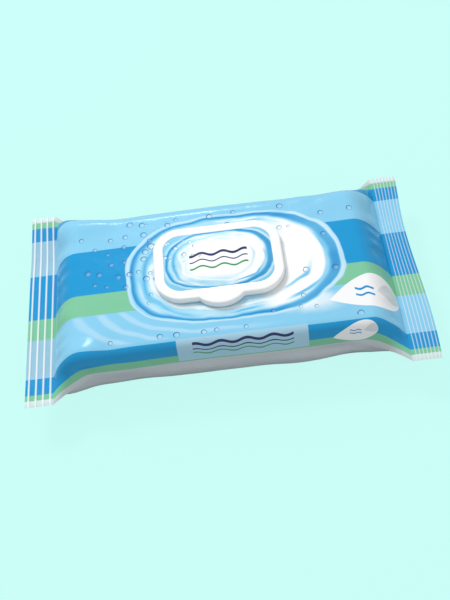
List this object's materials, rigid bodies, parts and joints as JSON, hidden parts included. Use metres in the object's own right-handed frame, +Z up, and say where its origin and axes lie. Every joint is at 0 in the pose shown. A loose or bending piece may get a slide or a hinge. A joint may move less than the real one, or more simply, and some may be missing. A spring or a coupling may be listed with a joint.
{
  "type": "wet wipes pack",
  "caption": "Flow-wrapped film pack of moist wipes with crimped end seals and a hinged flip-top lid over a dispensing opening",
  "frame": {"origin": "On the surface that the pack lies on, under the middle of its outline.", "axes": "X along the pack from seal to seal, -Y to the front where the thumb tab is, +Z up out of the lid."},
  "size_m": [0.24, 0.1384, 0.048],
  "materials": {
    "printed_film": "glossy printed film with bands of blue, light blue and green",
    "moist_fabric": "soft white nonwoven, moist",
    "white_plastic": "smooth moulded white plastic",
    "label_film": "glossy printed label in pale blue"
  },
  "bodies": {
    "pack": {"film_pouch": "printed_film", "wipe_stack": "moist_fabric", "lid_base": "white_plastic", "living_hinge": "white_plastic"},
    "lid": {"flip_lid": "white_plastic", "lid_label": "label_film"}
  },
  "joints": [
    {"name": "lid_hinge", "type": "hinge", "parent": "pack", "child": "lid", "pos_m": [0, 0.0306, 0.0455], "axis": [-1, 0, 0], "range_deg": [0, 160], "deforming": ["living_hinge"]}
  ]
}
